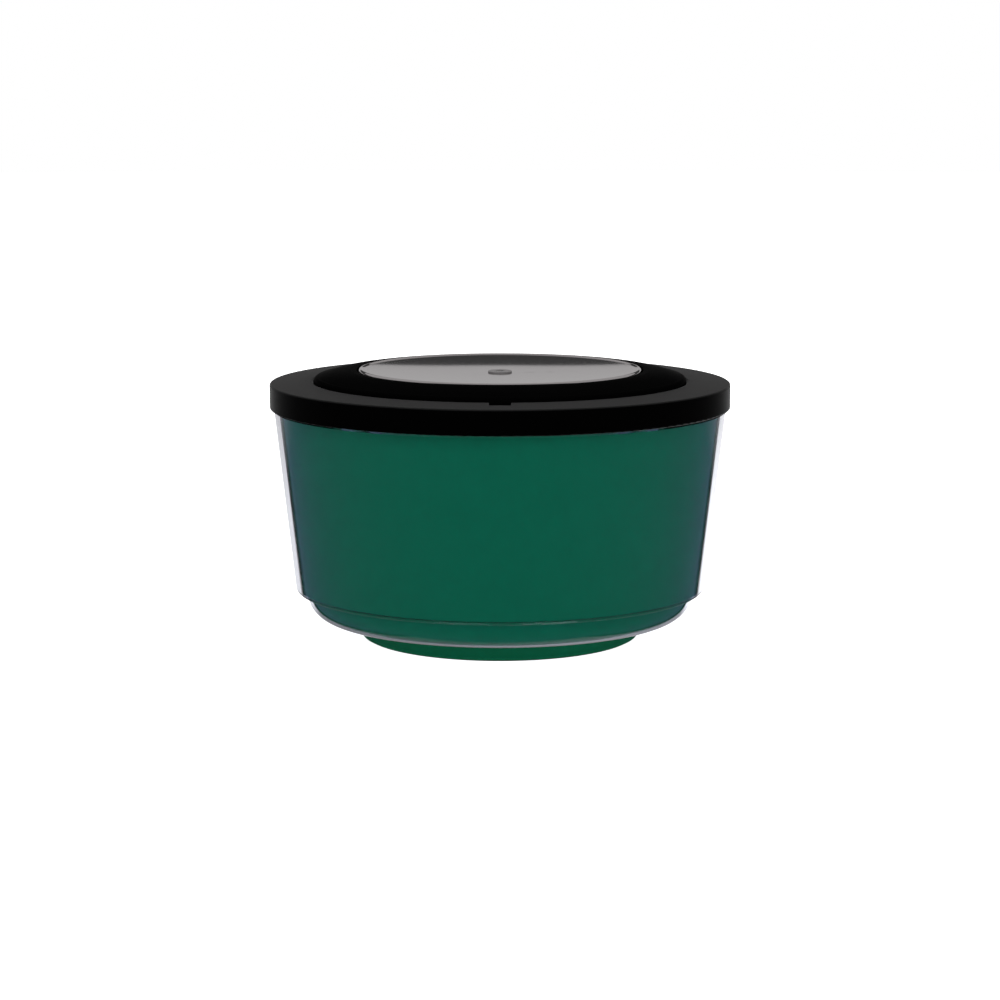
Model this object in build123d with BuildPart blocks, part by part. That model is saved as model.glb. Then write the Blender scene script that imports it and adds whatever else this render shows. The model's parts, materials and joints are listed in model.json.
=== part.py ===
from build123d import *
import math
import os

# Low round disinfectant jar: clear shell over a green cup, press-on lid, lift-out cap and basket.
# Millimetres, +Z up, origin at the centre of the foot's resting plane.

# ---------------------------------------------------------------- driving dimensions
# Lid ring
LID_R = 60.0            # outer radius of the skirt
LID_TOP_Z = 66.9        # outer edge of the ring's top face
SKIRT_Z = 60.4          # lower edge of the skirt
SKIRT_WALL = 1.3
PLATE_Z = 64.6          # underside of the ring's plate
MOUTH_R = 48.9          # opening that the cap drops into
MOUTH_TOP_Z = 67.35     # the ring's top face climbs slightly towards the mouth
LEDGE_R = 46.5          # bore of the ledge that carries the cap
LEDGE_Z = 65.8
PLUG_R = 54.2           # outer radius of the locating ring inside the cup's mouth
PLUG_WALL = 1.2
PLUG_Z = 61.0
NOTCH = (5.4, 4.3, 1.3)  # fingernail notch: width, radial length, depth
LID_EDGE_ROUND = 0.5
LID_TOP_ROUND = 0.3

# Clear outer shell
WALL_FOOT = (53.6, 12.8)    # lower outer corner of the tall wall
WALL_HEAD = (58.9, 59.9)    # upper outer corner, just below the skirt
SHELL_WALL = 2.0
BASE_WALL = 0.5
NECK_R = 58.3
NECK_WALL = 1.37
NECK_Z = 60.2
SHELL_TOP_Z = 61.8
BASE_R = 50.6           # radius of the rounded base below the step
BASE_ROUND = 6.0        # its corner radius
ROUND_Z = 11.4          # height of the corner's centre
BASE_SLOPE = 11.0       # degrees that the underside climbs outwards
SHELL_HOLE_R = 36.8     # bottom opening for the cup's foot
SHELL_ROUND = 0.3       # rounding of the shell's rim and of the step's corner

# Green inner cup
AIR_GAP = 0.1           # between the two walls
BASE_GAP = 0.25         # between the two bases
CUP_WALL = 1.8
CUP_FLOOR_Z = 7.4
FLANGE_Z = (62.4, 63.6)
FOOT_R = 36.4
FOOT_WALL = 2.8
FOOT_Z = 0.3            # the foot's edge, held off the table by the non-slip ring
RECESS_Z = 3.8
FOOT_ROUND = 0.5
GRIP_RING = (34.4, 35.6, 1.3)   # non-slip ring: inner radius, outer radius, height
GRIP_ROUND = 0.2

# Silicone rings and washers
GASKET_INSET = 0.3      # how far a ring stays inside the face that it seals
FOOT_GASKET = (0.5, 3.5)    # inner and outer edge of the foot's washer, outwards from the shell's hole
SEAT_PLAY = 0.02        # free play of the foot's washer between shell and cup

# Cap and pressed steel dish
CAP_R = 48.6
CAP_UNDER_Z = 66.4
CAP_RIM_R = 39.0
CAP_RIM_Z = 70.25
SPIGOT_R = 46.1
SPIGOT_WALL = 1.6
SPIGOT_Z = 63.0
CAP_PLATE_Z = 66.7
BOSS_R = 6.0
BOSS_Z = 64.4
DISH_R = 36.9
DISH_TOP_Z = 70.55
DISH_FLOOR_Z = 69.35
DISH_SHEET = 0.7
DISH_BEAD = 0.7         # radius of the rolled rim
DISH_BEAD_DROP = 0.25   # how far the dish's sheet meets the bead below its top
DISH_FLAT_R = 4.0
POCKET_R = 37.3
POCKET_Z = 68.6
POCKET_ROUND = 0.25
SHOULDER = ((CAP_R, 67.3), (CAP_R - 0.35, 68.15), (CAP_R - 1.3, 68.55))     # the cap's outer rounding
DOME_MID = (44.0, 69.5)
RIB = (36.0, 1.2, 1.6)  # length, thickness and depth of a rib
RIB_COUNT = 6
RIB_ROOT = 0.5          # how far a rib runs into the boss and the spigot

# Lift rod, its fasteners and the basket
SCREW_R = 2.0
SCREW_HEAD = (3.1, 0.45)    # radius, height
SCREW_HEAD_ROUND = 0.25
SCREW_SOCKET = (1.25, 0.4)  # hexagon's corner radius, depth
SCREW_CLEARANCE = 0.2
SCREW_END_Z = 56.9
TAP_CLEARANCE = 0.05
TAP_RUNOUT = 1.0        # how far the rod's tapped hole goes past the screw's end
ROD_R = 3.0
ROD_COLLAR = (5.0, 2.0)     # radius, height
ROD_SHOULDER_Z = 16.5
STUD_R = 2.5
STUD_END_Z = 8.6
STUD_CHAMFER = 0.4
HUB_R = 6.5
HUB_NECK_R = 4.45       # the bush's groove, just inside the hole in the basket's floor
HUB_TOP_R = 4.9
HUB_Z = (12.1, 16.2)
HUB_CLEARANCE = 0.08
WASHER_H = 0.8
WASHER_R = 5.8
WASHER_CLEARANCE = 0.1
END_PLAY = 0.1          # gap between the bush and the washer below it
NUT_H = 2.3
NUT_CORNER_R = 4.6
BASKET_R = 42.6
BASKET_SHEET = 0.8
BASKET_FLOOR_Z = 12.8
BASKET_TOP_Z = 52.4
BASKET_CORNER = 4.5
BASKET_HOLE_R = 4.5     # hole in the floor for the bush
FLOOR_RINGS = ((13.0, 8), (20.0, 14), (27.0, 20), (34.0, 26))   # radius and count of each ring of drain holes
DRAIN_R = 1.5
SLOTS = (30, 24.0, 3.2)     # count, length and width of the wall's slots
RIM_WIRE_R = 0.8
RIM_WELD = 0.1          # depth that the wire is melted into the sheet

SLOPE = math.tan(math.radians(BASE_SLOPE))
SLOPE_TURN = math.radians(BASE_SLOPE)
WALL_LEAN = (WALL_HEAD[0] - WALL_FOOT[0]) / (WALL_HEAD[1] - WALL_FOOT[1])
CUP_TOP_INNER_R = NECK_R - NECK_WALL - AIR_GAP - CUP_WALL


def base_arc(inset):
    """Start, middle and end of the base's corner, moved inwards by inset."""
    radius = BASE_ROUND - inset
    centre = (BASE_R - BASE_ROUND, ROUND_Z)

    def point(turn):
        return (centre[0] + radius * math.sin(turn), centre[1] - radius * math.cos(turn))

    quarter = math.pi / 2
    return point(quarter), point((quarter + SLOPE_TURN) / 2), point(SLOPE_TURN)


def underside_z(radius, inset):
    """Height of the sloping underside, moved inwards by inset, at a radius."""
    end = base_arc(inset)[2]
    return end[1] - (end[0] - radius) * SLOPE


def wall_r(height, inset):
    """Radius of the tall wall, moved inwards by inset, at a height."""
    return WALL_FOOT[0] - inset + WALL_LEAN * (height - WALL_FOOT[1])


os.makedirs("parts", exist_ok=True)

# ---------------------------------------------------------------- jar body
# Clear shell: tall wall, neck under the skirt, step and rounded base with a hole for the foot.
outer = base_arc(0)
inner = base_arc(BASE_WALL)
ledge_top_z = WALL_FOOT[1] + BASE_WALL
neck_inner_r = NECK_R - NECK_WALL
wall_break_z = WALL_FOOT[1] + (neck_inner_r - WALL_FOOT[0] + SHELL_WALL) / WALL_LEAN
with BuildPart() as outer_shell:
    with BuildSketch(Plane.XZ):
        with BuildLine():
            Polyline(
                inner[0],
                (inner[0][0], ledge_top_z),
                (wall_r(ledge_top_z, SHELL_WALL), ledge_top_z),
                (neck_inner_r, wall_break_z),
                (neck_inner_r, SHELL_TOP_Z),
                (NECK_R, SHELL_TOP_Z),
                (NECK_R, NECK_Z),
                WALL_HEAD,
                WALL_FOOT,
                (outer[0][0], WALL_FOOT[1]),
                outer[0],
            )
            ThreePointArc(*outer)
            Polyline(
                outer[2],
                (SHELL_HOLE_R, underside_z(SHELL_HOLE_R, 0)),
                (SHELL_HOLE_R, underside_z(SHELL_HOLE_R, BASE_WALL)),
                inner[2],
            )
            ThreePointArc(inner[2], inner[1], inner[0])
        make_face()
    revolve(axis=Axis.Z)
    step_edges = outer_shell.edges().filter_by(GeomType.CIRCLE)
    corner = step_edges.filter_by(lambda e: abs(e.radius - WALL_FOOT[0]) < 0.01)
    fillet(corner, SHELL_ROUND)
    fillet(outer_shell.edges().group_by(Axis.Z)[-1], SHELL_ROUND)
outer_shell.part.label = "outer_shell"
export_step(outer_shell.part, "parts/outer_shell.step")

# Green cup: wall parallel to the shell, flange over the shell's rim, foot through the shell's hole.
skin = BASE_WALL + BASE_GAP
skin_arc = base_arc(skin)
bore_arc = base_arc(skin + CUP_WALL)
cup_ledge_z = ledge_top_z + BASE_GAP
cup_neck_r = neck_inner_r - AIR_GAP
bore_ledge_z = cup_ledge_z + CUP_WALL
with BuildPart() as inner_cup:
    with BuildSketch(Plane.XZ):
        with BuildLine():
            Polyline(
                bore_arc[0],
                (bore_arc[0][0], bore_ledge_z),
                (wall_r(bore_ledge_z, SHELL_WALL + AIR_GAP + CUP_WALL), bore_ledge_z),
                (CUP_TOP_INNER_R, wall_break_z),
                (CUP_TOP_INNER_R, FLANGE_Z[1]),
                (NECK_R, FLANGE_Z[1]),
                (NECK_R, FLANGE_Z[0]),
                (cup_neck_r, FLANGE_Z[0]),
                (cup_neck_r, wall_break_z),
                (wall_r(cup_ledge_z, SHELL_WALL + AIR_GAP), cup_ledge_z),
                (skin_arc[0][0], cup_ledge_z),
                skin_arc[0],
            )
            ThreePointArc(*skin_arc)
            Polyline(
                skin_arc[2],
                (FOOT_R, underside_z(FOOT_R, skin)),
                (FOOT_R, FOOT_Z),
                (FOOT_R - FOOT_WALL, FOOT_Z),
                (FOOT_R - FOOT_WALL, RECESS_Z),
                (0, RECESS_Z),
                (0, CUP_FLOOR_Z),
                (bore_arc[2][0] - (bore_arc[2][1] - CUP_FLOOR_Z) / SLOPE, CUP_FLOOR_Z),
                bore_arc[2],
            )
            ThreePointArc(bore_arc[2], bore_arc[1], bore_arc[0])
        make_face()
    revolve(axis=Axis.Z)
    with BuildSketch(Plane.XY.offset(FOOT_Z)):
        Circle(GRIP_RING[1])
        Circle(GRIP_RING[0], mode=Mode.SUBTRACT)
    extrude(amount=GRIP_RING[2] - FOOT_Z, mode=Mode.SUBTRACT)
    foot_edge = inner_cup.edges().filter_by(GeomType.CIRCLE).group_by(Axis.Z)[0].sort_by(SortBy.RADIUS)[-1]
    fillet(foot_edge, FOOT_ROUND)
inner_cup.part.label = "inner_cup"
export_step(inner_cup.part, "parts/inner_cup.step")

# Silicone ring between the shell's rim and the cup's flange.
with BuildPart() as rim_gasket:
    with BuildSketch(Plane.XY.offset(SHELL_TOP_Z)):
        Circle(NECK_R - GASKET_INSET)
        Circle(cup_neck_r + GASKET_INSET, mode=Mode.SUBTRACT)
    extrude(amount=FLANGE_Z[0] - SHELL_TOP_Z)
rim_gasket.part.label = "rim_gasket"
export_step(rim_gasket.part, "parts/rim_gasket.step")

# Thin silicone washer in the gap between the shell's base and the cup, round the foot.
gasket_in = SHELL_HOLE_R + FOOT_GASKET[0]
gasket_out = SHELL_HOLE_R + FOOT_GASKET[1]
gasket_low = BASE_WALL + SEAT_PLAY
gasket_high = skin - SEAT_PLAY
with BuildPart() as foot_gasket:
    with BuildSketch(Plane.XZ):
        with BuildLine():
            Polyline(
                (gasket_in, underside_z(gasket_in, gasket_low)),
                (gasket_out, underside_z(gasket_out, gasket_low)),
                (gasket_out, underside_z(gasket_out, gasket_high)),
                (gasket_in, underside_z(gasket_in, gasket_high)),
                close=True,
            )
        make_face()
    revolve(axis=Axis.Z)
foot_gasket.part.label = "foot_gasket"
export_step(foot_gasket.part, "parts/foot_gasket.step")

# Non-slip ring pressed into the groove under the foot; it carries the jar.
with BuildPart() as grip_ring:
    with BuildSketch(Plane.XY):
        Circle(GRIP_RING[1])
        Circle(GRIP_RING[0], mode=Mode.SUBTRACT)
    extrude(amount=GRIP_RING[2])
    fillet(grip_ring.edges().group_by(Axis.Z)[0], GRIP_ROUND)
grip_ring.part.label = "grip_ring"
export_step(grip_ring.part, "parts/grip_ring.step")

# ---------------------------------------------------------------- lid body
# Lid ring: skirt, gently rising top face, ledge for the cap, plug ring inside the cup's mouth.
with BuildPart() as lid_ring:
    with BuildSketch(Plane.XZ):
        with BuildLine():
            Polyline(
                (LID_R, SKIRT_Z),
                (LID_R, LID_TOP_Z),
                (MOUTH_R, MOUTH_TOP_Z),
                (MOUTH_R, LEDGE_Z),
                (LEDGE_R, LEDGE_Z),
                (LEDGE_R, PLATE_Z),
                (PLUG_R - PLUG_WALL, PLATE_Z),
                (PLUG_R - PLUG_WALL, PLUG_Z),
                (PLUG_R, PLUG_Z),
                (PLUG_R, PLATE_Z),
                (LID_R - SKIRT_WALL, PLATE_Z),
                (LID_R - SKIRT_WALL, SKIRT_Z),
                close=True,
            )
        make_face()
    revolve(axis=Axis.Z)
    rings = lid_ring.edges().filter_by(GeomType.CIRCLE)
    fillet(rings.filter_by(lambda e: abs(e.radius - LID_R) < 0.01), LID_EDGE_ROUND)
    fillet(rings.group_by(Axis.Z)[-1], LID_TOP_ROUND)
    with BuildSketch(Plane.XY.offset(MOUTH_TOP_Z)):
        with Locations((0, -MOUTH_R)):
            Rectangle(NOTCH[0], 2 * NOTCH[1])
    extrude(amount=-NOTCH[2], mode=Mode.SUBTRACT)
lid_ring.part.label = "lid_ring"
export_step(lid_ring.part, "parts/lid_ring.step")

# Flat silicone gasket under the plate, squeezed on the cup's flange.
with BuildPart() as lid_gasket:
    with BuildSketch(Plane.XY.offset(FLANGE_Z[1])):
        Circle(NECK_R - GASKET_INSET)
        Circle(PLUG_R + GASKET_INSET, mode=Mode.SUBTRACT)
    extrude(amount=PLATE_Z - FLANGE_Z[1])
lid_gasket.part.label = "lid_gasket"
export_step(lid_gasket.part, "parts/lid_gasket.step")

# ---------------------------------------------------------------- cap body
# Cap: steep rounded shoulder, low dome, pocket for the dish, spigot, centre boss and ribs.
with BuildPart() as lid_cap:
    with BuildSketch(Plane.XZ):
        with BuildLine():
            Polyline((CAP_RIM_R, CAP_RIM_Z), (POCKET_R, CAP_RIM_Z), (POCKET_R, POCKET_Z), (0, POCKET_Z))
            Polyline(
                (0, POCKET_Z),
                (0, BOSS_Z),
                (BOSS_R, BOSS_Z),
                (BOSS_R, CAP_PLATE_Z),
                (SPIGOT_R - SPIGOT_WALL, CAP_PLATE_Z),
                (SPIGOT_R - SPIGOT_WALL, SPIGOT_Z),
                (SPIGOT_R, SPIGOT_Z),
                (SPIGOT_R, CAP_UNDER_Z),
                (CAP_R, CAP_UNDER_Z),
                SHOULDER[0],
            )
            ThreePointArc(*SHOULDER)
            ThreePointArc(SHOULDER[2], DOME_MID, (CAP_RIM_R, CAP_RIM_Z))
        make_face()
    revolve(axis=Axis.Z)
    with BuildSketch(Plane.XY.offset(CAP_PLATE_Z)):
        with PolarLocations(BOSS_R + RIB[0] / 2, RIB_COUNT):
            Rectangle(RIB[0] + 2 * RIB_ROOT, RIB[1])
    extrude(amount=-RIB[2])
    with Locations((0, 0, POCKET_Z)):
        Hole(SCREW_R + SCREW_CLEARANCE)
    pocket_edge = lid_cap.edges().filter_by(GeomType.CIRCLE).group_by(Axis.Z)[-1].sort_by(SortBy.RADIUS)[0]
    fillet(pocket_edge, POCKET_ROUND)
lid_cap.part.label = "lid_cap"
export_step(lid_cap.part, "parts/lid_cap.step")

# Flat gasket between the cap's flange and the lid ring's ledge.
with BuildPart() as cap_gasket:
    with BuildSketch(Plane.XY.offset(LEDGE_Z)):
        Circle(MOUTH_R - 2 * GASKET_INSET)
        Circle(LEDGE_R + GASKET_INSET, mode=Mode.SUBTRACT)
    extrude(amount=CAP_UNDER_Z - LEDGE_Z)
cap_gasket.part.label = "cap_gasket"
export_step(cap_gasket.part, "parts/cap_gasket.step")

# Pressed dish: flat seat for the screw, shallow spherical floor, rolled rim.
bead_centre = (DISH_R - DISH_BEAD, DISH_TOP_Z - DISH_BEAD)
bead_root = (bead_centre[0], DISH_TOP_Z - DISH_BEAD_DROP)
chord = bead_root[0] - DISH_FLAT_R
rise = bead_root[1] - DISH_FLOOR_Z
dish_mid = (DISH_FLAT_R + chord / 2, DISH_FLOOR_Z + rise / 4)
dish_hole_r = SCREW_R + SCREW_CLEARANCE
with BuildPart() as steel_dish:
    with BuildSketch(Plane.XZ):
        with BuildLine():
            Line((dish_hole_r, DISH_FLOOR_Z), (DISH_FLAT_R, DISH_FLOOR_Z))
            ThreePointArc((DISH_FLAT_R, DISH_FLOOR_Z), dish_mid, bead_root)
            Line(bead_root, (bead_root[0], bead_root[1] - DISH_SHEET))
            ThreePointArc(
                (bead_root[0], bead_root[1] - DISH_SHEET),
                (dish_mid[0], dish_mid[1] - DISH_SHEET),
                (DISH_FLAT_R, DISH_FLOOR_Z - DISH_SHEET),
            )
            Polyline(
                (DISH_FLAT_R, DISH_FLOOR_Z - DISH_SHEET),
                (dish_hole_r, DISH_FLOOR_Z - DISH_SHEET),
                (dish_hole_r, DISH_FLOOR_Z),
            )
        make_face()
        with Locations(bead_centre):
            Circle(DISH_BEAD)
    revolve(axis=Axis.Z)
steel_dish.part.label = "steel_dish"
export_step(steel_dish.part, "parts/steel_dish.step")

# Low button-head screw through the dish and the cap into the rod.
with BuildPart() as dish_screw:
    with BuildSketch(Plane.XY.offset(SCREW_END_Z)):
        Circle(SCREW_R)
    extrude(amount=DISH_FLOOR_Z - SCREW_END_Z)
    with BuildSketch(Plane.XY.offset(DISH_FLOOR_Z)):
        Circle(SCREW_HEAD[0])
    extrude(amount=SCREW_HEAD[1])
    fillet(dish_screw.edges().group_by(Axis.Z)[-1], SCREW_HEAD_ROUND)
    with BuildSketch(Plane.XY.offset(DISH_FLOOR_Z + SCREW_HEAD[1])):
        RegularPolygon(SCREW_SOCKET[0], 6)
    extrude(amount=-SCREW_SOCKET[1], mode=Mode.SUBTRACT)
dish_screw.part.label = "dish_screw"
export_step(dish_screw.part, "parts/dish_screw.step")

# Sealing washer between the cap's boss and the rod's collar.
rod_top_z = BOSS_Z - WASHER_H
with BuildPart() as boss_washer:
    with BuildSketch(Plane.XY.offset(rod_top_z)):
        Circle(BOSS_R - GASKET_INSET)
        Circle(SCREW_R + SCREW_CLEARANCE, mode=Mode.SUBTRACT)
    extrude(amount=WASHER_H)
boss_washer.part.label = "boss_washer"
export_step(boss_washer.part, "parts/boss_washer.step")

# Lift rod: collar and tapped end at the top, shoulder and stud for the basket at the bottom.
with BuildPart() as lift_rod:
    with BuildSketch(Plane.XY.offset(rod_top_z)):
        Circle(ROD_COLLAR[0])
    extrude(amount=-ROD_COLLAR[1])
    with BuildSketch(Plane.XY.offset(rod_top_z - ROD_COLLAR[1])):
        Circle(ROD_R)
    extrude(amount=ROD_SHOULDER_Z - rod_top_z + ROD_COLLAR[1])
    with BuildSketch(Plane.XY.offset(ROD_SHOULDER_Z)):
        Circle(STUD_R)
    extrude(amount=STUD_END_Z - ROD_SHOULDER_Z)
    chamfer(lift_rod.edges().group_by(Axis.Z)[0], STUD_CHAMFER)
    with BuildSketch(Plane.XY.offset(rod_top_z)):
        Circle(SCREW_R + TAP_CLEARANCE)
    extrude(amount=SCREW_END_Z - TAP_RUNOUT - rod_top_z, mode=Mode.SUBTRACT)
lift_rod.part.label = "lift_rod"
export_step(lift_rod.part, "parts/lift_rod.step")

# Washer and hexagon nut that keep the basket on the rod.
washer_top_z = HUB_Z[0] - END_PLAY
with BuildPart() as end_washer:
    with BuildSketch(Plane.XY.offset(washer_top_z - WASHER_H)):
        Circle(WASHER_R)
        Circle(STUD_R + WASHER_CLEARANCE, mode=Mode.SUBTRACT)
    extrude(amount=WASHER_H)
end_washer.part.label = "end_washer"
export_step(end_washer.part, "parts/end_washer.step")

nut_top_z = washer_top_z - WASHER_H
with BuildPart() as rod_nut:
    with BuildSketch(Plane.XY.offset(nut_top_z - NUT_H)):
        RegularPolygon(NUT_CORNER_R, 6)
        Circle(STUD_R + TAP_CLEARANCE, mode=Mode.SUBTRACT)
    extrude(amount=NUT_H)
rod_nut.part.label = "rod_nut"
export_step(rod_nut.part, "parts/rod_nut.step")

# ---------------------------------------------------------------- basket body
# Perforated basket: drawn sheet with drain holes in the floor and slots round the wall.
wall_in = BASKET_R - BASKET_SHEET
corner_in = BASKET_CORNER - BASKET_SHEET
corner_z = BASKET_FLOOR_Z + BASKET_CORNER
eighth = math.sqrt(0.5)
with BuildPart() as basket:
    with BuildSketch(Plane.XZ):
        with BuildLine():
            Line((BASKET_HOLE_R, BASKET_FLOOR_Z), (BASKET_R - BASKET_CORNER, BASKET_FLOOR_Z))
            ThreePointArc(
                (BASKET_R - BASKET_CORNER, BASKET_FLOOR_Z),
                (BASKET_R - BASKET_CORNER * (1 - eighth), corner_z - BASKET_CORNER * eighth),
                (BASKET_R, corner_z),
            )
            Polyline(
                (BASKET_R, corner_z),
                (BASKET_R, BASKET_TOP_Z),
                (wall_in, BASKET_TOP_Z),
                (wall_in, corner_z),
            )
            ThreePointArc(
                (wall_in, corner_z),
                (wall_in - corner_in * (1 - eighth), corner_z - corner_in * eighth),
                (wall_in - corner_in, BASKET_FLOOR_Z + BASKET_SHEET),
            )
            Polyline(
                (wall_in - corner_in, BASKET_FLOOR_Z + BASKET_SHEET),
                (BASKET_HOLE_R, BASKET_FLOOR_Z + BASKET_SHEET),
                (BASKET_HOLE_R, BASKET_FLOOR_Z),
            )
        make_face()
    revolve(axis=Axis.Z)
    with BuildSketch(Plane.XY.offset(BASKET_FLOOR_Z)):
        for ring_r, holes in FLOOR_RINGS:
            with PolarLocations(ring_r, holes):
                Circle(DRAIN_R)
    extrude(amount=BASKET_SHEET, mode=Mode.SUBTRACT)
    slot_z = (corner_z + BASKET_TOP_Z) / 2
    for index in range(SLOTS[0] // 2):
        turn = 360.0 / SLOTS[0] * (index + 0.5)
        with BuildSketch(Plane.XZ.rotated((0, 0, turn))):
            with Locations((0, slot_z)):
                SlotOverall(SLOTS[1], SLOTS[2], rotation=90)
        extrude(amount=BASKET_R + BASKET_SHEET, both=True, mode=Mode.SUBTRACT)
basket.part.label = "basket"
export_step(basket.part, "parts/basket.step")

# Wire welded round the basket's top edge.
with BuildPart() as basket_rim:
    with BuildSketch(Plane.XZ):
        with Locations((BASKET_R + RIM_WIRE_R - RIM_WELD, BASKET_TOP_Z - RIM_WIRE_R)):
            Circle(RIM_WIRE_R)
    revolve(axis=Axis.Z)
basket_rim.part.label = "basket_rim"
export_step(basket_rim.part, "parts/basket_rim.step")

# Flanged bush in the basket's floor, running on the rod's stud.
with BuildPart() as basket_hub:
    with BuildSketch(Plane.XZ):
        with BuildLine():
            Polyline(
                (STUD_R + HUB_CLEARANCE, HUB_Z[0]),
                (HUB_R, HUB_Z[0]),
                (HUB_R, BASKET_FLOOR_Z),
                (HUB_NECK_R, BASKET_FLOOR_Z),
                (HUB_NECK_R, BASKET_FLOOR_Z + BASKET_SHEET),
                (HUB_R, BASKET_FLOOR_Z + BASKET_SHEET),
                (HUB_R, BASKET_FLOOR_Z + 2 * BASKET_SHEET),
                (HUB_TOP_R, HUB_Z[1]),
                (STUD_R + HUB_CLEARANCE, HUB_Z[1]),
                close=True,
            )
        make_face()
    revolve(axis=Axis.Z)
basket_hub.part.label = "basket_hub"
export_step(basket_hub.part, "parts/basket_hub.step")
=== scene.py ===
"""Looks for the low round disinfectant jar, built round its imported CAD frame. Metres."""
import json
import math

import bpy
import numpy as np
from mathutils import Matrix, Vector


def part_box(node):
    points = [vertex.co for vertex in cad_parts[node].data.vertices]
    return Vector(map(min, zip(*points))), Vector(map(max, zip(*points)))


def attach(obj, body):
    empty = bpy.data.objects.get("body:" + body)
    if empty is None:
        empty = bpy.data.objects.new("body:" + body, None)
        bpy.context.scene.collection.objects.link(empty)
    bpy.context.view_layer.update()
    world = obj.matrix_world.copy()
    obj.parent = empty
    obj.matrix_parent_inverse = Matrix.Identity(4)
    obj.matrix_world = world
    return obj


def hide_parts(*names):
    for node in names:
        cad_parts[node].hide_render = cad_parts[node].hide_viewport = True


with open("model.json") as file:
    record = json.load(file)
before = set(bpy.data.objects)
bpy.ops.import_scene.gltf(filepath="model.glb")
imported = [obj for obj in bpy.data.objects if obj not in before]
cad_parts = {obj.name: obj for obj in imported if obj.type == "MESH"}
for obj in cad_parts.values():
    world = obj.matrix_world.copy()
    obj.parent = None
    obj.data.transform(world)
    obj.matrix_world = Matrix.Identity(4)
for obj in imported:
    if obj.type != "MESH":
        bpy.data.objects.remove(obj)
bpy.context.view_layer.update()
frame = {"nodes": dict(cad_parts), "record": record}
nodes = frame["nodes"]
MM = 0.001

# ---------------------------------------------------------------- the object's own sizes and finishes
GRAIN_CAP = 0.25            # millimetres between bumps of each moulded grain
GRAIN_GREEN = 0.6
GRAIN_RUBBER = 0.4
GRAIN_RELIEF = 0.35         # strength of every grain's bumps
BRUSH_LINE = 0.35           # radial spacing of the dish's brush lines, coarser than real so that they show
BRUSH_RELIEF = 0.12
BRUSH_DEPTH = 0.003
TOOL_MARK = 0.3             # spacing of the turning marks on rod, nut and basket
CLEAR_TINT = "F1F5FF"
RING_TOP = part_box("lid_ring")[1][2]
EDGE_FADE = 0.4 * MM        # depth over which the ring's top face, painted lighter as painted light from above, gives way to its skirt
ACRYLIC_IOR = 1.49
MIX_FIRST = 6               # sockets of a Mix node that hold its two colours and their blend
MIX_SECOND = 7
MIX_RESULT = 2

# ---------------------------------------------------------------- the clear shell's profile, in millimetres
SHELL_SIDES = 480
CORNER_STEPS = 8            # points along each small rounded corner
CORNER_ROUND = 0.3
WALL_FOOT = (53.6, 12.8)    # radius and height of the tall wall's lower corner
WALL_HEAD = (58.9, 59.9)
WALL_THICK = 2.0
NECK_R = 58.3               # the neck stands up inside the lid's skirt
NECK_THICK = 1.37
NECK_Z = 60.2
RIM_Z = 61.8
BASE_THICK = 0.5
BASE_R = 50.6               # the rounded base below the step
BASE_ROUND = 6.0
BASE_ROUND_Z = 11.4
BASE_STEPS = 24
UNDERSIDE = math.radians(11)    # the underside climbs outwards
FOOT_HOLE_R = 36.8
CREASE = math.radians(30)       # edges that turn more than this stay crisp

# ---------------------------------------------------------------- the studio
FLOOR_R = 3.0
FLOOR_SIDES = 96
FLOOR_LIGHT = 1.0           # the white paper's own light, so that it stays white to its edge
STUDIO_WALL = 0.43          # brightness of the walls and ceiling, as the dish mirrors them
PAPER = (0.95, 1.4)         # brightness of the paper behind, at left and right, as the clear edge shows it
PAPER_TURN = (-0.2, 0.2)    # across, where the paper's left brightness turns to its right
SIDE_GLOW = 0.18            # blue dusk low at the sides and back
FRONT_GLOW = 0.012
GLOW_REACH = (-1.0, 0.6)    # along, from the front to where the dusk is full
BACK_EDGE = (0.0, 0.1)      # along, where the back half of the room begins
PAPER_SIDES = (0.46, 0.475)     # sine of the turn off the back at which the white paper ends
DARK_SIDES = (0.545, 0.575)     # sine of the turn at which the black strip beside it gives way to dusk
HORIZON = (-0.09, -0.04)    # sine of the height at which floor turns to wall
PAPER_NEAR = (-0.36, -0.24)     # sine of the height below which the jar's own shade dims the paper
NEAR_SHADE = 0.25
BLUE = "A6C0F0"
STAND_HEIGHT = (0.6, 0.65)  # up, from which a black camera stand hangs in front
STAND_DEPTH = (-0.3, -0.15)     # along, behind which it ends
FLAG_Y = 0.5
FLAG_WIDTH = 0.8            # half the card's width
FLAG_FOOT = 0.143           # height of the card's lower edge, which the dish mirrors as a dark crescent
FLAG_TOP = 0.24
FLAG_GLOW = 0.04
AIM = (0, 0, 0.03)
LAMPS = (                   # name, place, side and watts of each softbox
    ("overhead", (0.0, 0.1, 1.2), 0.9, 10),
    ("front_key", (-0.5, -1.1, 0.9), 0.8, 8),
    ("front_fill", (0.6, -1.1, 0.7), 0.8, 6.5),
)
CAMERA_AT = (0, -0.7333, 0.1512)
CAMERA_DIP = 8.96           # degrees that it looks down
CAMERA_LENS = 101.7         # millimetres, on a full-frame sensor
CAMERA_SENSOR = 36
CAMERA_NEAR = 0.01


# ---------------------------------------------------------------- colours and shader nodes
def colour(code):
    """sRGB hex to linear RGBA: c / 12.92 in the toe, ((c + 0.055) / 1.055) ** 2.4 above it."""
    channels = [int(code[i:i + 2], 16) / 255 for i in (0, 2, 4)]
    linear = [c / 12.92 if c <= 0.04045 else ((c + 0.055) / 1.055) ** 2.4 for c in channels]
    return (*linear, 1.0)


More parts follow.
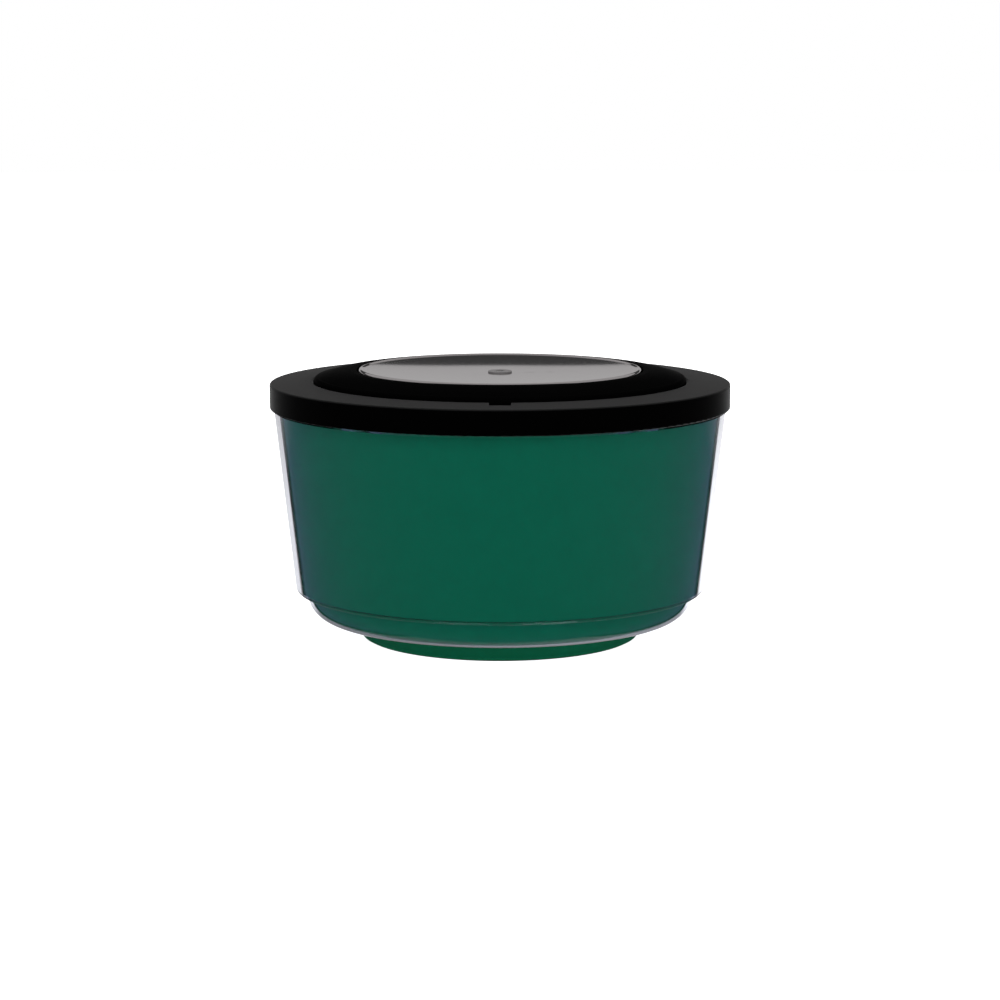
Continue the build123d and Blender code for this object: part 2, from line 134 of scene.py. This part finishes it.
def add(tree, kind, settings=(), *links, **named):
    """Adds a node: settings are attributes or socket values, links join outputs to its inputs in order."""
    node = tree.nodes.new(kind)
    for key, value in dict(settings).items():
        if key in node.inputs:
            node.inputs[key].default_value = value
        else:
            setattr(node, key, value)
    for socket, output in enumerate(links):
        tree.links.new(output, node.inputs[socket])
    for key, output in named.items():
        tree.links.new(output, node.inputs[key])
    return node


def new_material(name, principled):
    """A material with one Principled shader; returns the material, its tree and the shader."""
    material = bpy.data.materials.new(name)
    material.use_nodes = True
    tree = material.node_tree
    tree.nodes.clear()
    shader = add(tree, "ShaderNodeBsdfPrincipled", principled)
    add(tree, "ShaderNodeOutputMaterial", (), shader.outputs[0])
    return material, tree, shader


def grain(tree, shader, size_mm, depth_mm, rough):
    """A fine moulded grain: noise of one bump per size_mm, as a normal and a spread of roughness."""
    place = add(tree, "ShaderNodeTexCoord")
    noise = add(tree, "ShaderNodeTexNoise", {"Scale": 1 / (size_mm * MM), "Detail": 2.0},
                place.outputs["Object"])
    bump = add(tree, "ShaderNodeBump", {"Strength": GRAIN_RELIEF, "Distance": depth_mm * MM},
               Height=noise.outputs[0])
    spread = add(tree, "ShaderNodeMapRange", {"To Min": rough[0], "To Max": rough[1]}, noise.outputs[0])
    tree.links.new(bump.outputs[0], shader.inputs["Normal"])
    tree.links.new(spread.outputs[0], shader.inputs["Roughness"])


# ---------------------------------------------------------------- materials
def clear_acrylic():
    """Moulded clear acrylic, polished: see-through, bright in its thickness where it meets the paper."""
    material, tree, shader = new_material("clear_moulded_acrylic", {
        "Base Color": colour(CLEAR_TINT), "Roughness": 0.0, "IOR": ACRYLIC_IOR, "Transmission Weight": 1.0})
    path = add(tree, "ShaderNodeLightPath")
    through = add(tree, "ShaderNodeBsdfTransparent", {"Color": colour(CLEAR_TINT)})
    lamp_ray = add(tree, "ShaderNodeMath", {"operation": "MAXIMUM"},
                   path.outputs["Is Shadow Ray"], path.outputs["Is Diffuse Ray"])
    mix = add(tree, "ShaderNodeMixShader", (), lamp_ray.outputs[0], shader.outputs[0], through.outputs[0])
    tree.links.new(mix.outputs[0], tree.nodes["Material Output"].inputs[0])
    return material


def green_polypropylene():
    """Deep green injection-moulded polypropylene: solid colour, silky, with almost no gloss of its own."""
    material, tree, shader = new_material("green_moulded_polypropylene", {
        "Base Color": colour("044D33"), "IOR": 1.49, "Specular IOR Level": 0.03})
    grain(tree, shader, GRAIN_GREEN, 0.01, (0.5, 0.6))
    return material


def cap_abs():
    """Black moulded ABS with a fine spark-eroded grain: swallows light, greys only at a glancing angle."""
    material, tree, shader = new_material("black_abs_cap", {"Base Color": colour("020202"), "IOR": 1.01})
    grain(tree, shader, GRAIN_CAP, 0.02, (0.3, 0.4))
    return material


def ring_abs():
    """Black moulded ABS, velvety at its edges: a top face painted charcoal as painted light from the overhead
    lamp, a deep black skirt.
    """
    material, tree, shader = new_material("black_abs_painted_top_light", {
        "IOR": 1.02, "Sheen Weight": 0.12, "Sheen Roughness": 0.24})
    grain(tree, shader, GRAIN_CAP, 0.02, (0.34, 0.42))
    place = add(tree, "ShaderNodeTexCoord")
    split = add(tree, "ShaderNodeSeparateXYZ", (), place.outputs["Object"])
    top = add(tree, "ShaderNodeMapRange", {
        "From Min": RING_TOP - 2 * EDGE_FADE, "From Max": RING_TOP - EDGE_FADE}, split.outputs[2])
    # painted light: the top face's lighter charcoal base colour stands in for the light falling on it from
    # above; the skirt below stays black
    face = add(tree, "ShaderNodeMix", {"data_type": "RGBA"}, top.outputs[0])
    face.inputs[MIX_FIRST].default_value = colour("010101")
    face.inputs[MIX_SECOND].default_value = colour("1D1D1D")
    tree.links.new(face.outputs[MIX_RESULT], shader.inputs["Base Color"])
    return material


def spun_steel():
    """Stainless sheet spun and fine-brushed: mirrors softly, with faint rings round its centre."""
    material, tree, shader = new_material("spun_brushed_stainless", {"Metallic": 1.0})
    place = add(tree, "ShaderNodeTexCoord")
    split = add(tree, "ShaderNodeSeparateXYZ", (), place.outputs["Object"])
    flat = add(tree, "ShaderNodeCombineXYZ", (), split.outputs[0], split.outputs[1])
    radius = add(tree, "ShaderNodeVectorMath", {"operation": "LENGTH"}, flat.outputs[0])
    lines = add(tree, "ShaderNodeTexNoise", {"noise_dimensions": "1D", "Scale": 1 / (BRUSH_LINE * MM),
                                            "Detail": 3.0}, W=radius.outputs["Value"])
    bump = add(tree, "ShaderNodeBump", {"Strength": BRUSH_RELIEF, "Distance": BRUSH_DEPTH * MM},
               Height=lines.outputs[0])
    spread = add(tree, "ShaderNodeMapRange", {"To Min": 0.03, "To Max": 0.09}, lines.outputs[0])
    metal = add(tree, "ShaderNodeMix", {"data_type": "RGBA"}, lines.outputs[0])
    metal.inputs[MIX_FIRST].default_value = colour("D2CECF")
    metal.inputs[MIX_SECOND].default_value = colour("C0BCBD")
    tree.links.new(metal.outputs[MIX_RESULT], shader.inputs["Base Color"])
    tree.links.new(bump.outputs[0], shader.inputs["Normal"])
    tree.links.new(spread.outputs[0], shader.inputs["Roughness"])
    return material


def turned_steel(name, base, metallic, rough):
    """Turned stainless with faint tool marks along Z; a metallic below 1 dulls it as bead blasting does."""
    material, tree, shader = new_material(name, {"Base Color": colour(base), "Metallic": metallic})
    place = add(tree, "ShaderNodeTexCoord")
    split = add(tree, "ShaderNodeSeparateXYZ", (), place.outputs["Object"])
    marks = add(tree, "ShaderNodeTexNoise", {"noise_dimensions": "1D", "Scale": 1 / (TOOL_MARK * MM)},
                W=split.outputs[2])
    spread = add(tree, "ShaderNodeMapRange", {"To Min": rough[0], "To Max": rough[1]}, marks.outputs[0])
    tree.links.new(spread.outputs[0], shader.inputs["Roughness"])
    return material


def silicone(name, base):
    """Moulded silicone rubber: soft, slightly hazy, with a dusty low sheen."""
    material, tree, shader = new_material(name, {
        "Base Color": colour(base), "IOR": 1.41, "Subsurface Weight": 0.1, "Subsurface Scale": 0.5 * MM})
    grain(tree, shader, GRAIN_RUBBER, 0.01, (0.5, 0.6))
    return material


def acetal():
    """Turned white acetal: waxy, pale and smooth."""
    material, tree, shader = new_material("turned_white_acetal", {
        "Base Color": colour("E4E2DC"), "IOR": 1.48})
    grain(tree, shader, GRAIN_RUBBER, 0.01, (0.3, 0.4))
    return material


materials = {
    "clear_shell": clear_acrylic(),
    "green_cup": green_polypropylene(),
    "black_lid": ring_abs(),
    "black_cap": cap_abs(),
    "brushed_dish": spun_steel(),
    "dark_screw": turned_steel("blasted_dull_steel", "7E7C7C", 0.4, (0.5, 0.6)),
    "bright_steel": turned_steel("turned_bright_steel", "C8C8CA", 1.0, (0.12, 0.2)),
    "basket_steel": turned_steel("drawn_satin_steel", "ACACAF", 0.5, (0.3, 0.4)),
    "clear_silicone": silicone("milky_silicone", "C9CCCE"),
    "dark_silicone": silicone("dark_silicone", "1B2624"),
    "white_bush": acetal(),
}
for part in frame["record"]["subparts"]:
    node = nodes[part["node"]]
    node.data.materials.clear()
    node.data.materials.append(materials[part["material_slot"]])


# ---------------------------------------------------------------- the clear shell, turned smooth
def rounded(before, corner, after):
    """Small arc tangent to both edges: centre = corner + bisector * r / sin(half the corner's angle)."""
    back = np.subtract(before, corner) / np.hypot(*np.subtract(before, corner))
    on = np.subtract(after, corner) / np.hypot(*np.subtract(after, corner))
    half = math.acos(back @ on) / 2
    centre = corner + (back + on) / np.hypot(*(back + on)) * CORNER_ROUND / math.sin(half)
    first = corner + back * CORNER_ROUND / math.tan(half) - centre
    last = corner + on * CORNER_ROUND / math.tan(half) - centre
    sweep = math.pi - 2 * half
    turns = np.linspace(0, sweep, CORNER_STEPS)[:, None]
    return list(centre + (np.sin(sweep - turns) * first + np.sin(turns) * last) / math.sin(sweep))


def base_corner(inset, turns):
    """The base's rounded corner, moved in: centre + (r - inset) * (sin turn, -cos turn), turns from below."""
    radius = BASE_ROUND - inset
    out = BASE_R - BASE_ROUND + radius * np.sin(turns)
    height = BASE_ROUND_Z - radius * np.cos(turns)
    return list(np.stack([out, height], 1))


def underside_end(inset):
    """Where the underside meets the foot's hole: the corner's end, lower by run * tan(slope)."""
    end = base_corner(inset, np.array([UNDERSIDE]))[0]
    return (FOOT_HOLE_R, end[1] - (end[0] - FOOT_HOLE_R) * math.tan(UNDERSIDE))


def shell_profile():
    """Closed outline (r, z) of the shell: up inside the wall and neck, down outside them, round the base."""
    lean = (WALL_HEAD[0] - WALL_FOOT[0]) / (WALL_HEAD[1] - WALL_FOOT[1])
    ledge_z = WALL_FOOT[1] + BASE_THICK
    ledge_r = WALL_FOOT[0] - WALL_THICK + lean * BASE_THICK
    neck_in = NECK_R - NECK_THICK
    break_z = WALL_FOOT[1] + (neck_in - WALL_FOOT[0] + WALL_THICK) / lean
    down = np.linspace(math.pi / 2, UNDERSIDE, BASE_STEPS)
    profile = [(BASE_R - BASE_THICK, ledge_z), (ledge_r, ledge_z), (neck_in, break_z)]
    profile += rounded((neck_in, break_z), (neck_in, RIM_Z), (NECK_R, RIM_Z))
    profile += rounded((neck_in, RIM_Z), (NECK_R, RIM_Z), (NECK_R, NECK_Z))
    profile += [(NECK_R, NECK_Z), WALL_HEAD]
    profile += rounded(WALL_HEAD, WALL_FOOT, (BASE_R, WALL_FOOT[1]))
    profile += [(BASE_R, WALL_FOOT[1])]
    profile += base_corner(0, down)
    profile += [underside_end(0), underside_end(BASE_THICK)]
    profile += base_corner(BASE_THICK, down[::-1])
    return np.array(profile)


def clear_shell():
    """Turned shell: the grid (r cos a, r sin a, z) of its closed outline (r, z), joined round both ways."""
    radius, height = shell_profile().T * MM
    turns = np.arange(SHELL_SIDES) * 2 * math.pi / SHELL_SIDES
    rings = np.stack([np.outer(radius, np.cos(turns)), np.outer(radius, np.sin(turns)),
                      np.outer(height, np.ones(SHELL_SIDES))], 2)
    index = np.arange(radius.size * SHELL_SIDES).reshape(radius.size, SHELL_SIDES)
    above = np.roll(index, -1, 0)
    faces = np.stack([index, above, np.roll(above, -1, 1), np.roll(index, -1, 1)], 2)
    mesh = bpy.data.meshes.new("clear_shell")
    mesh.from_pydata(rings.reshape(-1, 3).tolist(), [], faces.reshape(-1, 4).tolist())
    mesh.shade_smooth()
    mesh.set_sharp_from_angle(angle=CREASE)
    mesh.materials.append(materials["clear_shell"])
    shell = bpy.data.objects.new("clear_shell", mesh)
    bpy.context.scene.collection.objects.link(shell)
    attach(shell, "jar")
    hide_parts("outer_shell")


clear_shell()


# ---------------------------------------------------------------- floor, light and camera
def stage_card(name, points, faces, shader_settings):
    """A flat stage piece from points and faces, with a plain matte material of its own."""
    mesh = bpy.data.meshes.new(name)
    mesh.from_pydata(points, [], faces)
    card = bpy.data.objects.new(name, mesh)
    bpy.context.scene.collection.objects.link(card)
    matte = new_material(name + "_matte", {"Roughness": 0.9, "Specular IOR Level": 0.0, **shader_settings})
    mesh.materials.append(matte[0])
    return card


def floor():
    """White paper that the jar stands on: a round sheet at z = 0 that mirrors and glass don't see."""
    turns = np.arange(FLOOR_SIDES) * 2 * math.pi / FLOOR_SIDES
    ring = np.stack([FLOOR_R * np.cos(turns), FLOOR_R * np.sin(turns), 0 * turns], 1)
    sheet = stage_card("floor", ring.tolist(), [list(range(FLOOR_SIDES))], {
        "Base Color": colour("F7F7F7"), "Emission Color": colour("FFFFFF"), "Emission Strength": FLOOR_LIGHT})
    sheet.visible_glossy = False
    sheet.visible_transmission = False


def flag():
    """A dark card behind the jar, above the paper: an upright quad whose lower edge the dish mirrors."""
    corners = [(-FLAG_WIDTH, FLAG_Y, FLAG_FOOT), (FLAG_WIDTH, FLAG_Y, FLAG_FOOT),
               (FLAG_WIDTH, FLAG_Y, FLAG_TOP), (-FLAG_WIDTH, FLAG_Y, FLAG_TOP)]
    card = stage_card("flag", corners, [(0, 1, 2, 3)], {
        "Base Color": colour("101010"), "Emission Color": colour("FFFFFF"), "Emission Strength": FLAG_GLOW})
    card.visible_camera = False
    card.visible_shadow = False
    card.visible_transmission = False
    card.visible_diffuse = False


def studio():
    """The room as mirrors and glass see it: pale walls, white paper low behind, blue dusk at the sides."""
    world = bpy.data.worlds.new("studio")
    bpy.context.scene.world = world
    world.use_nodes = True
    tree = world.node_tree
    tree.nodes.clear()

    place = add(tree, "ShaderNodeTexCoord")
    split = add(tree, "ShaderNodeSeparateXYZ", (), place.outputs["Generated"])
    across, along, up = split.outputs
    aside = add(tree, "ShaderNodeMath", {"operation": "ABSOLUTE"}, across)
    behind = add(tree, "ShaderNodeMapRange", {"From Min": BACK_EDGE[0], "From Max": BACK_EDGE[1]}, along)

    glow = add(tree, "ShaderNodeMapRange", {
        "From Min": GLOW_REACH[0], "From Max": GLOW_REACH[1], "To Min": FRONT_GLOW, "To Max": SIDE_GLOW},
        along)
    sides = add(tree, "ShaderNodeBackground", {"Color": colour(BLUE)}, Strength=glow.outputs[0])
    strip = add(tree, "ShaderNodeMapRange", {
        "From Min": DARK_SIDES[0], "From Max": DARK_SIDES[1], "To Min": 1.0, "To Max": 0.0},
        aside.outputs[0])
    dark = add(tree, "ShaderNodeMath", {"operation": "MULTIPLY"}, behind.outputs[0], strip.outputs[0])
    edged = add(tree, "ShaderNodeMixShader", (), dark.outputs[0], sides.outputs[0])

    sheet = add(tree, "ShaderNodeMapRange", {
        "From Min": PAPER_TURN[0], "From Max": PAPER_TURN[1], "To Min": PAPER[0], "To Max": PAPER[1]}, across)
    shade = add(tree, "ShaderNodeMapRange", {
        "From Min": PAPER_NEAR[0], "From Max": PAPER_NEAR[1], "To Min": NEAR_SHADE, "To Max": 1.0}, up)
    shaded = add(tree, "ShaderNodeMath", {"operation": "MULTIPLY"}, sheet.outputs[0], shade.outputs[0])
    paper = add(tree, "ShaderNodeBackground", {"Color": colour("F6F6FA")}, Strength=shaded.outputs[0])
    narrow = add(tree, "ShaderNodeMapRange", {
        "From Min": PAPER_SIDES[0], "From Max": PAPER_SIDES[1], "To Min": 1.0, "To Max": 0.0},
        aside.outputs[0])
    middle = add(tree, "ShaderNodeMath", {"operation": "MULTIPLY"}, behind.outputs[0], narrow.outputs[0])
    low = add(tree, "ShaderNodeMixShader", (), middle.outputs[0], edged.outputs[0], paper.outputs[0])

    wall = add(tree, "ShaderNodeBackground", {"Color": colour("FDFBFB"), "Strength": STUDIO_WALL})
    high = add(tree, "ShaderNodeMapRange", {"From Min": HORIZON[0], "From Max": HORIZON[1]}, up)
    room = add(tree, "ShaderNodeMixShader", (), high.outputs[0], low.outputs[0], wall.outputs[0])

    above = add(tree, "ShaderNodeMapRange", {"From Min": STAND_HEIGHT[0], "From Max": STAND_HEIGHT[1]}, up)
    before = add(tree, "ShaderNodeMapRange", {
        "From Min": STAND_DEPTH[0], "From Max": STAND_DEPTH[1], "To Min": 1.0, "To Max": 0.0}, along)
    stand = add(tree, "ShaderNodeMath", {"operation": "MULTIPLY"}, above.outputs[0], before.outputs[0])
    hung = add(tree, "ShaderNodeMixShader", (), stand.outputs[0], room.outputs[0])

    white = add(tree, "ShaderNodeBackground", {"Color": colour("FFFFFF"), "Strength": 1.0})
    path = add(tree, "ShaderNodeLightPath")
    seen = path.outputs["Is Camera Ray"]
    mix = add(tree, "ShaderNodeMixShader", (), seen, hung.outputs[0], white.outputs[0])
    add(tree, "ShaderNodeOutputWorld", (), mix.outputs[0])


def softbox(name, place, size, watts):
    """A square area lamp at a place, turned to face the jar."""
    lamp = bpy.data.lights.new(name, "AREA")
    lamp.energy = watts
    lamp.size = size
    box = bpy.data.objects.new(name, lamp)
    bpy.context.scene.collection.objects.link(box)
    box.location = place
    x, y, z = (a - p for a, p in zip(AIM, place))
    box.rotation_euler = (math.atan2(math.hypot(x, y), -z), 0, math.atan2(y, x) - math.pi / 2)
    box.visible_glossy = False


floor()
flag()
studio()
for lamp_row in LAMPS:
    softbox(*lamp_row)

camera_data = bpy.data.cameras.new("camera")
camera_data.lens = CAMERA_LENS
camera_data.sensor_width = CAMERA_SENSOR
camera_data.clip_start = CAMERA_NEAR
camera = bpy.data.objects.new("camera", camera_data)
bpy.context.scene.collection.objects.link(camera)
camera.location = CAMERA_AT
camera.rotation_euler = (math.radians(90 - CAMERA_DIP), 0, 0)
bpy.context.scene.camera = camera
bpy.context.scene.view_settings.view_transform = "Standard"
